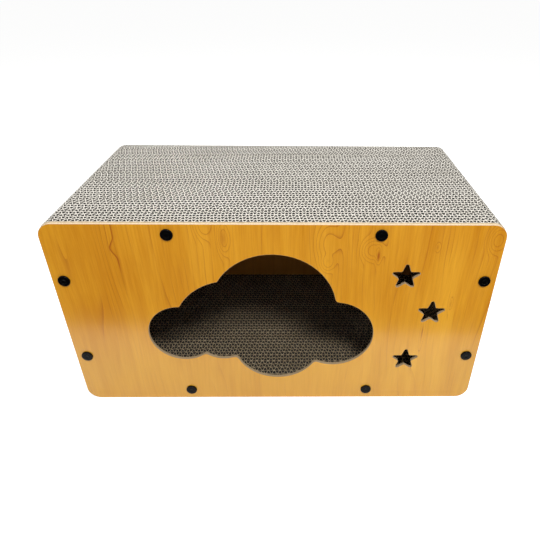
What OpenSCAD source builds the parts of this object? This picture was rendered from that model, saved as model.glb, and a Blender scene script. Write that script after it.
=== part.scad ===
// Cat condo: four slabs of corrugated board form an open-ended tunnel, and two
// printed boards close its ends. The front board has a cloud doorway and three
// star windows. Push rivets through both boards hold the slabs.
// The origin is at the middle of the base, the front faces -Y and +Z is up.

/* [Overall] */
// Width of the condo, left to right
condo_w = 560; // [480:1:640]
// Depth of the condo, between the outer faces of its end boards
condo_d = 303; // [220:1:420]
// Height of the condo
condo_h = 284; // [240:1:360]
// Radius of the four corners of the condo's outline
corner_r = 18; // [6:0.5:29]

/* [Corrugated slabs] */
// Thickness of each slab
slab_t = 30; // [24:0.5:34]
// Height of the roof slab's top above the end boards
roof_rise = 1.4; // [0:0.1:3]
// Thickness of one corrugated board, of which a slab is glued up from front to rear
board_t = 7; // [4:0.5:14]
// Share of a board's thickness that its open flutes take up
flute_share = 0.6; // [0.3:0.05:0.8]
// Depth of the flutes that is left open at a slab's sawn faces
flute_depth = 4; // [1:0.5:5]

/* [End boards] */
// Thickness of the fibreboard core
core_t = 4; // [2.5:0.1:6]
// Thickness of the printed film on each face of the core
film_t = 0.25; // [0.1:0.05:0.6]
// Bare strip of core along every cut edge, where the film stops
film_margin = 0.4; // [0.1:0.1:0.8]

/* [Cloud doorway] */
// Height of the doorway's lowest point above the floor slab
sill_rise = 11; // [4:0.5:20]
// Least height of board between the doorway and the roof slab
lintel_h = 8; // [4:0.5:20]
// Shift of the doorway's lowest point to the right of the board's middle
cloud_shift = -1; // [-20:0.5:12]
// Radius of the bottom lobe
bottom_lobe_r = 59.5; // [50:0.5:70]
// Radius of the right lobe
right_lobe_r = 53.5; // [45:0.5:60]
// Right lobe's centre, to the right of the bottom lobe's
right_lobe_x = 78; // [66:0.5:90]
// Right lobe's centre, above the bottom lobe's
right_lobe_z = 18; // [8:0.5:28]
// Radius of the top lobe
top_lobe_r = 82; // [70:0.5:88]
// Top lobe's centre, to the left of the bottom lobe's
top_lobe_x = 3; // [0:0.5:12]
// Top lobe's centre, above the bottom lobe's
top_lobe_z = 61; // [50:0.5:66]
// Radius of the shoulder lobe, between the top and left lobes
shoulder_lobe_r = 77.5; // [66:0.5:84]
// Shoulder lobe's centre, to the left of the bottom lobe's
shoulder_lobe_x = 58; // [50:0.5:68]
// Shoulder lobe's centre, above the bottom lobe's
shoulder_lobe_z = 27; // [18:0.5:34]
// Radius of the left lobe
left_lobe_r = 44.5; // [38:0.5:52]
// Left lobe's centre, to the left of the bottom lobe's
left_lobe_x = 128; // [116:0.5:138]
// Left lobe's centre, above the bottom lobe's
left_lobe_z = 19.5; // [10:0.5:28]
// Radius of the small lobe, between the left and bottom lobes
small_lobe_r = 39; // [34:0.5:44]
// Small lobe's centre, to the left of the bottom lobe's
small_lobe_x = 74; // [66:0.5:82]
// Small lobe's centre, above the bottom lobe's
small_lobe_z = 15; // [8:0.5:22]
// Rounding of the two sharp notches on the cloud's upper left
tight_notch_r = 2; // [1:0.5:5]
// Rounding of the other notches between the lobes
soft_notch_r = 6; // [2:0.5:9]

/* [Star windows] */
// Distance from a star's centre to the end of an arm
star_r = 18.3; // [12:0.1:20]
// Rounding at the end of an arm
star_tip_r = 2.4; // [1:0.1:3]
// Distance from a star's centre to the bottom of a notch
star_notch = 9.6; // [7:0.1:11]
// Rounding of a notch between two arms
star_notch_r = 2.2; // [1:0.1:3]
// Upper star's centre, as a share of the way from the middle to the right slab
star_upper_across = 0.658; // [0.62:0.001:0.74]
// Upper star's centre, as a share of the way from the floor slab to the roof slab
star_upper_up = 0.81; // [0.7:0.005:0.86]
// Middle star's centre, across as the upper star's
star_middle_across = 0.818; // [0.76:0.001:0.86]
// Middle star's centre, up as the upper star's
star_middle_up = 0.56; // [0.48:0.005:0.62]
// Lower star's centre, across as the upper star's
star_lower_across = 0.716; // [0.66:0.001:0.8]
// Lower star's centre, up as the upper star's
star_lower_up = 0.1965; // [0.16:0.0005:0.26]

/* [Push rivets] */
// Distance between the two rivets along the top or bottom edge
rivet_span_x = 256; // [200:1:320]
// Distance between the two rivets along a side edge
rivet_span_z = 124; // [90:1:150]
// Rise of the whole rivet pattern above the middle of the boards
rivet_rise = 1.5; // [-3:0.5:3]
// Diameter of the rivet's head
head_d = 16; // [12:0.5:18]
// Height of the rivet's head at its middle
head_h = 2.6; // [2:0.1:4]
// Height of the rivet's head at its rim
head_rim_h = 0.8; // [0.4:0.1:1.4]
// Diameter of the sleeve's shank
shank_d = 6.4; // [5:0.1:7.4]
// Length of the sleeve below its head
shank_len = 32; // [24:1:50]
// Diameter over the sleeve's barbs
barb_d = 8; // [7.6:0.1:10]
// Length of one barb along the shank
barb_len = 3; // [2:0.25:4]
// Number of barbs along the shank
barb_count = 4; // [2:1:5]
// Width of the slots that split the shank into legs
slot_w = 1; // [0.6:0.1:1.4]
// Length of the slots from the shank's tip
slot_len = 20; // [10:1:23]
// Diameter of the pin's shaft
pin_d = 3.2; // [2.4:0.1:3.6]
// Diameter of the pin's head
pin_head_d = 7.2; // [5:0.1:8.6]
// Height of the pin's head
pin_head_h = 1.1; // [0.8:0.1:1.6]
// Length of the pin's point
pin_point = 3; // [1.5:0.25:5]
// Diameter of the pin's blunt tip
pin_tip_d = 0.8; // [0.4:0.1:2]

/* [Clearances] */
// Gap all round a shank in its hole through an end board
board_hole_gap = 0.2; // [0.1:0.05:0.4]
// Gap all round the barbs in their hole in a slab
slab_hole_gap = 0.1; // [0.05:0.05:0.3]
// Gap between the shank's tip and the bottom of its hole
hole_end_gap = 0.5; // [0.2:0.1:2]
// Gap all round the pin in its sleeve
pin_gap = 0.1; // [0.05:0.05:0.2]

/* [Hidden] */
$fn = 96;

FRONT = -1;
REAR = 1;
// A cut runs this far past the face that it opens
cut_over = 1;
// Angle between the points of a cloud lobe, and of a small rounding
lobe_step = 6;
rounding_step = 20;
full_turn = 360;
half_turn = 180;
quarter_turn = 90;

panel_t = core_t + 2 * film_t;
slab_d = condo_d - 2 * panel_t;
// Distance from the middle of the condo to an end board's inner and outer faces
inner_y = slab_d / 2;
outer_y = condo_d / 2;
board_count = max(1, round(slab_d / board_t));
board_pitch = slab_d / board_count;
flute_w = flute_share * board_pitch;
// Room between the slabs
cabin_w = condo_w - 2 * slab_t;
cabin_h = condo_h - 2 * slab_t;

rivet_inset = slab_t / 2;
slab_hole_d = barb_d + 2 * slab_hole_gap;
slab_hole_depth = shank_len - panel_t + hole_end_gap;
board_hole_d = shank_d + 2 * board_hole_gap;
pin_bore_d = pin_d + 2 * pin_gap;
pin_seat_d = pin_head_d + 2 * pin_gap;

// Rivet places as [across, up], two for each slab
rivet_x = condo_w / 2 - rivet_inset;
rivet_z = condo_h / 2 - rivet_inset;
rivet_mid = condo_h / 2 + rivet_rise;
top_rivets = [for (s = [-1, 1]) [s * rivet_span_x / 2, rivet_mid + rivet_z]];
floor_rivets = [for (s = [-1, 1]) [s * rivet_span_x / 2, rivet_mid - rivet_z]];
left_rivets = [for (s = [-1, 1]) [-rivet_x, rivet_mid + s * rivet_span_z / 2]];
right_rivets = [for (s = [-1, 1]) [rivet_x, rivet_mid + s * rivet_span_z / 2]];
all_rivets = concat(top_rivets, floor_rivets, left_rivets, right_rivets);

// Cloud lobes as [across, up, radius, radius of the notch to the next lobe], from the
// lowest point and anticlockwise as seen from the front
cloud_lobes = [
    [right_lobe_x, bottom_lobe_r + right_lobe_z, right_lobe_r, soft_notch_r],
    [-top_lobe_x, bottom_lobe_r + top_lobe_z, top_lobe_r, tight_notch_r],
    [-shoulder_lobe_x, bottom_lobe_r + shoulder_lobe_z, shoulder_lobe_r, tight_notch_r],
    [-left_lobe_x, bottom_lobe_r + left_lobe_z, left_lobe_r, soft_notch_r],
    [-small_lobe_x, bottom_lobe_r + small_lobe_z, small_lobe_r, soft_notch_r],
    [0, bottom_lobe_r, bottom_lobe_r, soft_notch_r]
];
cloud_h = max([for (lobe = cloud_lobes) lobe[1] + lobe[2]]);
// The cloud shrinks where it would not fit between the sill and the lintel
cloud_fit = min(1, (cabin_h - sill_rise - lintel_h) / cloud_h);
cloud_place = [cloud_shift, slab_t + sill_rise];
function in_cabin(across, up) = [across * cabin_w / 2, slab_t + up * cabin_h];
star_places = [
    in_cabin(star_upper_across, star_upper_up),
    in_cabin(star_middle_across, star_middle_up),
    in_cabin(star_lower_across, star_lower_up)
];
star_arms = 5;

core_colour = [0.86, 0.74, 0.56];
film_colour = [0.84, 0.57, 0.15];
cardboard_colour = [0.72, 0.67, 0.59];
rivet_colour = [0.05, 0.05, 0.06];

function polar(r, a) = [r * cos(a), r * sin(a)];

function heading(v) = atan2(v[1], v[0]);

// Points along an arc, without its last one, in steps of about the given angle
function arc(centre, r, from, to, step) =
    let (count = max(1, ceil(abs(to - from) / step)))
    [for (i = [0:count - 1]) centre + polar(r, from + (to - from) * i / count)];

// The same direction as to, reached from another direction by turning left or right
function left_turn(from, to) = to > from ? to : to + full_turn;
function right_turn(from, to) = to < from ? to : to - full_turn;

// Point at distance p from a and q from b, on the right of the way from a to b
function meeting_point(a, p, b, q) =
    let (d = norm(b - a), u = (b - a) / d)
    let (along = (p * p - q * q + d * d) / (2 * d))
    let (aside = sqrt(max(0, p * p - along * along)))
    a + along * u + aside * [u[1], -u[0]];

function lobe(i) = cloud_fit * cloud_lobes[i % len(cloud_lobes)];
function lobe_centre(i) = cloud_place + [lobe(i)[0], lobe(i)[1]];
function lobe_r(i) = lobe(i)[2];
function notch_r(i) = lobe(i)[3];

// Centre of the rounding in the notch between a lobe and the next one
function notch_centre(i) = meeting_point(
    lobe_centre(i), lobe_r(i) + notch_r(i),
    lobe_centre(i + 1), lobe_r(i + 1) + notch_r(i)
);

// Points of one lobe, from its notch with the lobe before it to the end of its next notch,
// with the hole wider by a margin all round
function lobe_points(i, margin) =
    let (centre = lobe_centre(i), next = lobe_centre(i + 1))
    let (notch = notch_centre(i), notch_before = notch_centre(i + len(cloud_lobes) - 1))
    let (from = heading(notch_before - centre), to = left_turn(from, heading(notch - centre)))
    let (start = heading(centre - notch), end = right_turn(start, heading(next - notch)))
    concat(
        arc(centre, lobe_r(i) + margin, from, to, lobe_step),
        arc(notch, notch_r(i) - margin, start, end, rounding_step)
    );

// Points of one star arm and of the notch after it, with the hole wider by a margin
function arm_points(i, margin) =
    let (spread = full_turn / star_arms, up = quarter_turn + i * spread)
    let (tip = polar(star_r - star_tip_r, up))
    let (notch = polar(star_notch + star_notch_r, up + spread / 2))
    let (way = notch - tip)
    let (side = heading(way) - acos((star_tip_r + star_notch_r) / norm(way)))
    let (half = left_turn(0, side - up) % full_turn)
    let (start = up + half + half_turn, end = up + spread - half + half_turn)
    concat(
        arc(tip, star_tip_r + margin, up - half, up + half, rounding_step),
        arc(notch, star_notch_r - margin, start, end, rounding_step)
    );

// Outline of the condo as seen from the front, less a margin all round
module condo_outline(margin = 0) {
    straight_w = condo_w - 2 * corner_r;
    straight_h = condo_h - 2 * corner_r;
    translate([0, condo_h / 2]) {
        square([straight_w, condo_h - 2 * margin], center = true);
        square([condo_w - 2 * margin, straight_h], center = true);
        for (sx = [-1, 1], sz = [-1, 1])
            translate([sx * straight_w / 2, sz * straight_h / 2]) circle(corner_r - margin);
    }
}

module cloud(margin) {
    polygon([for (i = [0:len(cloud_lobes) - 1]) each lobe_points(i, margin)]);
}

// Star with its first arm up: straight edges between round tips and round notches
module star(margin) {
    polygon([for (i = [0:star_arms - 1]) each arm_points(i, margin)]);
}

module blank_face(margin = 0) {
    difference() {
        condo_outline(margin);
        for (p = all_rivets) translate(p) circle(d = board_hole_d);
    }
}

module door_face(margin = 0) {
    difference() {
        blank_face(margin);
        cloud(margin);
        for (p = star_places) translate(p) star(margin);
    }
}

// Stands a flat outline upright, from y to y + t
module upright(y, t) {
    translate([0, y + t, 0]) rotate([quarter_turn, 0, 0]) linear_extrude(t) children();
}

module front_board() {
    color(core_colour) upright(-outer_y + film_t, core_t) door_face();
}

module front_outer_film() {
    color(film_colour) upright(-outer_y, film_t) door_face(film_margin);
}

module front_inner_film() {
    color(film_colour) upright(-inner_y - film_t, film_t) door_face(film_margin);
}

module rear_board() {
    color(core_colour) upright(inner_y + film_t, core_t) blank_face();
}

module rear_outer_film() {
    color(film_colour) upright(outer_y - film_t, film_t) blank_face(film_margin);
}

module rear_inner_film() {
    color(film_colour) upright(inner_y, film_t) blank_face(film_margin);
}

// Open flutes at the two sawn faces of a slab of thickness t, one row for each board
module flute_rows(t) {
    for (i = [0:board_count - 1], face = [-1, 1])
        translate([(i + 1 / 2) * board_pitch - inner_y, face * (t + cut_over - flute_depth) / 2])
            square([flute_w, flute_depth + cut_over], center = true);
}

// Slab in one rectangle of the condo's outline, which a lift raises. Its boards show as rows of
// flutes, and blind holes at both ends take the rivets.
module slab(low, size, rivets, lift = 0) {
    middle = low + size / 2;
    lying = size[0] > size[1];
    color(cardboard_colour)
        difference() {
            upright(-inner_y, slab_d)
                intersection() {
                    translate([0, lift]) condo_outline();
                    translate(low) square(size);
                }
            translate([middle[0], 0, middle[1]])
                rotate([lying ? quarter_turn : 0, 0, quarter_turn])
                    linear_extrude(max(size) + 2 * cut_over, center = true) flute_rows(min(size));
            for (p = rivets, end = [FRONT, REAR])
                translate([p[0], end * (inner_y - slab_hole_depth / 2 + cut_over / 2), p[1]])
                    rotate([quarter_turn, 0, 0])
                        cylinder(h = slab_hole_depth + cut_over, d = slab_hole_d, center = true);
        }
}

module top_slab() {
    low = [-condo_w / 2, condo_h - slab_t];
    slab(low, [condo_w, slab_t + roof_rise], top_rivets, roof_rise);
}

module floor_slab() {
    slab([-condo_w / 2, 0], [condo_w, slab_t], floor_rivets);
}

module left_slab() {
    slab([-condo_w / 2, slab_t], [slab_t, condo_h - 2 * slab_t], left_rivets);
}

module right_slab() {
    slab([condo_w / 2 - slab_t, slab_t], [slab_t, condo_h - 2 * slab_t], right_rivets);
}

// Half outline of a low dome that stands on its rim
module dome_profile(d, rim_h, h) {
    rise = h - rim_h;
    dome_r = (d * d / 4 + rise * rise) / (2 * rise);
    intersection() {
        translate([0, h - dome_r]) circle(dome_r);
        square([d / 2, h]);
    }
}

// Sleeve of a rivet: its seat is at z = 0, its head above and its legs below
module rivet_sleeve() {
    difference() {
        union() {
            rotate_extrude() dome_profile(head_d, head_rim_h, head_h);
            translate([0, 0, -shank_len]) cylinder(h = shank_len, d = shank_d);
            for (i = [0:barb_count - 1])
                translate([0, 0, i * barb_len - shank_len])
                    cylinder(h = barb_len, d1 = shank_d, d2 = barb_d);
        }
        translate([0, 0, -shank_len - cut_over])
            cylinder(h = shank_len + head_h + 2 * cut_over, d = pin_bore_d);
        translate([0, 0, head_h - pin_head_h])
            cylinder(h = pin_head_h + cut_over, d = pin_seat_d);
        for (turn = [0, quarter_turn])
            rotate([0, 0, turn])
                translate([-barb_d / 2 - cut_over, -slot_w / 2, -shank_len - cut_over])
                    cube([barb_d + 2 * cut_over, slot_w, slot_len + cut_over]);
    }
}

// Pin of a rivet, in its sleeve: the head fills the seat and the point ends at the legs' tip
module rivet_pin() {
    translate([0, 0, head_h - pin_head_h]) cylinder(h = pin_head_h, d = pin_head_d);
    translate([0, 0, pin_point - shank_len])
        cylinder(h = shank_len - pin_point + head_h - pin_head_h, d = pin_d);
    translate([0, 0, -shank_len]) cylinder(h = pin_point, d1 = pin_tip_d, d2 = pin_d);
}

// Puts a child at some rivet places, with its head on the front or the rear board
module at_places(end, places) {
    for (p = places)
        translate([p[0], end * outer_y, p[1]]) rotate([-end * quarter_turn, 0, 0]) children();
}

module sleeves(end, places) {
    color(rivet_colour) at_places(end, places) rivet_sleeve();
}

module pins(end, places) {
    color(rivet_colour) at_places(end, places) rivet_pin();
}

module front_top_sleeves() {
    sleeves(FRONT, top_rivets);
}

module front_top_pins() {
    pins(FRONT, top_rivets);
}

module front_floor_sleeves() {
    sleeves(FRONT, floor_rivets);
}

module front_floor_pins() {
    pins(FRONT, floor_rivets);
}

module front_left_sleeves() {
    sleeves(FRONT, left_rivets);
}

module front_left_pins() {
    pins(FRONT, left_rivets);
}

module front_right_sleeves() {
    sleeves(FRONT, right_rivets);
}

module front_right_pins() {
    pins(FRONT, right_rivets);
}

module rear_top_sleeves() {
    sleeves(REAR, top_rivets);
}

module rear_top_pins() {
    pins(REAR, top_rivets);
}

module rear_floor_sleeves() {
    sleeves(REAR, floor_rivets);
}

module rear_floor_pins() {
    pins(REAR, floor_rivets);
}

module rear_left_sleeves() {
    sleeves(REAR, left_rivets);
}

module rear_left_pins() {
    pins(REAR, left_rivets);
}

module rear_right_sleeves() {
    sleeves(REAR, right_rivets);
}

module rear_right_pins() {
    pins(REAR, right_rivets);
}

front_board();
front_outer_film();
front_inner_film();
rear_board();
rear_outer_film();
rear_inner_film();
top_slab();
floor_slab();
left_slab();
right_slab();
front_top_sleeves();
front_top_pins();
front_floor_sleeves();
front_floor_pins();
front_left_sleeves();
front_left_pins();
front_right_sleeves();
front_right_pins();
rear_top_sleeves();
rear_top_pins();
rear_floor_sleeves();
rear_floor_pins();
rear_left_sleeves();
rear_left_pins();
rear_right_sleeves();
rear_right_pins();
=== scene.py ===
"""Dresses the cat condo: corrugated slabs, wood-print end boards and push rivets.

Sizes are in millimetres until they reach a mesh, a node or a lamp, which take metres.
"""

import logging
import math
from dataclasses import dataclass
from enum import Enum

import bmesh
import bpy
from mathutils import Matrix, Vector


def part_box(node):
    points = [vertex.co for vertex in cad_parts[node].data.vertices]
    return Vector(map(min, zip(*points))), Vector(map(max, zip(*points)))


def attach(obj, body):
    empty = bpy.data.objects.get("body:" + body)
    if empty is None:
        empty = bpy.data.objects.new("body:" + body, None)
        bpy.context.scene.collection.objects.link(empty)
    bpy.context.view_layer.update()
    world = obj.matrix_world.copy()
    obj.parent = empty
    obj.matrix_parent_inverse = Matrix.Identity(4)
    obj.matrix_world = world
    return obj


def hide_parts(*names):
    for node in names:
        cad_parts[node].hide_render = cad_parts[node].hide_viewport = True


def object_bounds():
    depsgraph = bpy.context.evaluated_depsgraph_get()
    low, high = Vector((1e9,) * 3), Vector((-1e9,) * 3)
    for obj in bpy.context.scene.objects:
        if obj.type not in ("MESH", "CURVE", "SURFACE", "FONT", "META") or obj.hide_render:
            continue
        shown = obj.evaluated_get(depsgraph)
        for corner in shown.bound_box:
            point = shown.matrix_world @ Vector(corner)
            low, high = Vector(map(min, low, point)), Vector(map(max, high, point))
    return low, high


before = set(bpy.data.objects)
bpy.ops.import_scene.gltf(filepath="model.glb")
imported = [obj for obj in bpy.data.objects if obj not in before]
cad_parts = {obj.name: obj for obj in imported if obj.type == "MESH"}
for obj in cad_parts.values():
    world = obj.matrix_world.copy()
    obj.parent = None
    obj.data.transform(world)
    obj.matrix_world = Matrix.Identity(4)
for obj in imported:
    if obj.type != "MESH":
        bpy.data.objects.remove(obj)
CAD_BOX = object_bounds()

LOG = logging.getLogger("cat_condo")
MM = 0.001
BODY = "root"
WHITE = (1.0, 1.0, 1.0, 1.0)
BLACK = (0.0, 0.0, 0.0, 1.0)

# The nodes that come up most
MATH, RANGE, MIX = "ShaderNodeMath", "ShaderNodeMapRange", "ShaderNodeMix"
NOISE, MAPPING = "ShaderNodeTexNoise", "ShaderNodeMapping"
SPLIT, JOIN = "ShaderNodeSeparateXYZ", "ShaderNodeCombineXYZ"
PRINCIPLED, OUTPUT = "ShaderNodeBsdfPrincipled", "ShaderNodeOutputMaterial"
POSITION, SET_POSITION = "GeometryNodeInputPosition", "GeometryNodeSetPosition"
STORE = "GeometryNodeStoreNamedAttribute"

# Sockets of a Mix node that mixes colours
SHARE, FROM, TO, MIXED = 0, 6, 7, 2

# A Noise node gives 0 to 1, but mostly a value between these
LOW_NOISE, HIGH_NOISE = 0.3, 0.7

Colour = tuple[float, float, float, float]
Place = tuple[float, float, float]
Profile = list[tuple[float, float]]
Material = bpy.types.Material
Mesh = bpy.types.Mesh
Object = bpy.types.Object
Socket = bpy.types.NodeSocket
Sockets = bpy.types.bpy_prop_collection
Tree = bpy.types.NodeTree


class Slot(Enum):
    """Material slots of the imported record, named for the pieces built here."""

    CARDBOARD = "cardboard"
    BLACK_NYLON = "black_nylon"


class Side(Enum):
    """The four slabs, by the CAD node that each one stands for."""

    ROOF = "top_slab"
    FLOOR = "floor_slab"
    LEFT = "left_slab"
    RIGHT = "right_slab"


class Mark(Enum):
    """Attributes that the rows of paper carry for their finish."""

    TINT = "sheet_tint"
    BELOW_OUTER_FACE = "below_outer_face"
    ABOVE_INNER_FACE = "above_inner_face"
    FROM_END = "from_end"
    FROM_SIDE = "from_side"


def linear(code: str) -> Colour:
    """Turns an sRGB hex colour into linear light.

    Args:
        code: The colour as "#RRGGBB".

    Returns:
        Red, green, blue and an alpha of 1.
    """
    parts = [int(code[i : i + 2], 16) / 255 for i in (1, 3, 5)]
    lit = [p / 12.92 if p <= 0.04045 else ((p + 0.055) / 1.055) ** 2.4 for p in parts]
    return lit[0], lit[1], lit[2], 1.0


def add(
    tree: Tree,
    kind: str,
    links: dict[str | int, object] | None = None,
    out: str | int = 0,
    **settings: object,
) -> Socket | None:
    """Adds one node with its settings, values and links.

    Args:
        tree: The tree that gets the node.
        kind: The node's type name.
        links: A value or another node's output for each input, by its name or number.
        out: The output to give back.
        settings: The node's own properties.

    Returns:
        The named output, or None for a node without outputs.
    """
    node = tree.nodes.new(kind)
    for name, value in settings.items():
        setattr(node, name, value)
    for key, value in (links or {}).items():
        if isinstance(value, Socket):
            tree.links.new(value, node.inputs[key])
        else:
            node.inputs[key].default_value = value
    return node.outputs[out] if node.outputs else None


def new_material(name: str) -> tuple[Material, Tree]:
    """Makes an empty node material.

    Args:
        name: The finish's name.

    Returns:
        The material and its node tree.
    """
    material = bpy.data.materials.new(name)
    material.use_nodes = True
    material.node_tree.nodes.clear()
    return material, material.node_tree


def new_object(name: str, mesh: Mesh) -> Object:
    """Makes an object at the origin and links it to the scene.

    Args:
        name: The object's name.
        mesh: Its mesh.

    Returns:
        The object.
    """
    obj = bpy.data.objects.new(name, mesh)
    bpy.context.scene.collection.objects.link(obj)
    return obj


def points_mesh(name: str, places: list[Place]) -> Mesh:
    """Makes a mesh of loose points, for a Geometry Nodes tree to start from.

    Args:
        name: The mesh's name.
        places: The points, in metres.

    Returns:
        The mesh.
    """
    mesh = bpy.data.meshes.new(name)
    mesh.from_pydata(places, [], [])
    return mesh


def new_tree(name: str, inputs: dict[str, str]) -> tuple[Tree, Sockets]:
    """Makes a Geometry Nodes tree with named inputs.

    Args:
        name: The tree's name.
        inputs: The kind of each input after the geometry, by the input's name.

    Returns:
        The tree, and the outputs of its Group Input.
    """
    tree = bpy.data.node_groups.new(name, "GeometryNodeTree")
    for label, kind in {"Geometry": "Geometry", **inputs}.items():
        tree.interface.new_socket(label, in_out="INPUT", socket_type=f"NodeSocket{kind}")
    tree.interface.new_socket("Geometry", in_out="OUTPUT", socket_type="NodeSocketGeometry")
    return tree, add(tree, "NodeGroupInput").node.outputs


def end_tree(tree: Tree, pieces: Socket, finish: Socket) -> None:
    """Ends a Geometry Nodes tree with real meshes in their finish.

    Args:
        tree: The tree.
        pieces: Its meshes or instances.
        finish: The material.
    """
    pieces = add(tree, "GeometryNodeRealizeInstances", {"Geometry": pieces})
    pieces = add(tree, "GeometryNodeSetMaterial", {"Geometry": pieces, "Material": finish})
    add(tree, "NodeGroupOutput", {"Geometry": pieces})


def grow(obj: Object, tree: Tree, values: dict[str, object]) -> None:
    """Runs a Geometry Nodes tree on an object and keeps the result as its plain mesh.

    Args:
        obj: The object, whose mesh holds the points that the tree starts from.
        tree: The tree.
        values: A value for each of the tree's inputs, by name.
    """
    modifier = obj.modifiers.new("grow", "NODES")
    modifier.node_group = tree
    for item in tree.interface.items_tree:
        if item.in_out == "INPUT" and item.name in values:
            modifier[item.identifier] = values[item.name]
    depsgraph = bpy.context.evaluated_depsgraph_get()
    mesh = bpy.data.meshes.new_from_object(
        obj.evaluated_get(depsgraph), preserve_all_data_layers=True, depsgraph=depsgraph
    )
    obj.modifiers.clear()
    obj.data = mesh


def settle(obj: Object, slot: Slot, *nodes: str) -> None:
    """Attaches a finished piece to the body, and hides the CAD nodes that it stands for.

    Args:
        obj: The piece.
        slot: The record's material slot for it; not used.
        nodes: The CAD nodes that it stands for.
    """
    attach(obj, BODY)
    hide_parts(*nodes)
    LOG.info("%s: %d faces, for %s", obj.name, len(obj.data.polygons), ", ".join(nodes))


@dataclass(frozen=True)
class Patch:
    """Noise in patches of one width and height, in millimetres on the board.

    The detail is how many finer layers lie on it, and the roughness how strong they are.
    """

    width: float
    height: float
    detail: float = 2.0
    roughness: float = 0.5


@dataclass(frozen=True)
class Knot:
    """A spot in the print that the growth lines close around, in millimetres on the board.

    The pull is how many lines close around it, and the ink how brown its heart is.
    """

    across: float
    up: float
    half_width: float
    half_height: float
    pull: float
    ink: float = 0.0


@dataclass(frozen=True)
class Seam:
    """A brown line in the print from the board's top, for a seam in the tree, in millimetres.

    It has a sharp left side and a shade that falls off to its right. It bends to the left
    around one height, and grows faint towards the board's foot.
    """

    across: float
    bend: float = 6.0
    bend_height: float = 252.0
    bend_reach: float = 16.0
    line: float = 0.9
    shade: float = 7.0
    fall: float = 5.0
    strong_above: float = 225.0
    faint_below: float = 170.0
    faintest: float = 0.2
    # Stretches where it is strong or weak, and how weak
    stretches: Patch = Patch(40, 60)
    weakest: float = 0.3


@dataclass(frozen=True)
class Grain:
    """A film's node tree with its coordinates, straight and bent as the grain flows."""

    tree: Tree
    place: Socket
    flow: Socket
    across: Socket
    up: Socket


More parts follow.
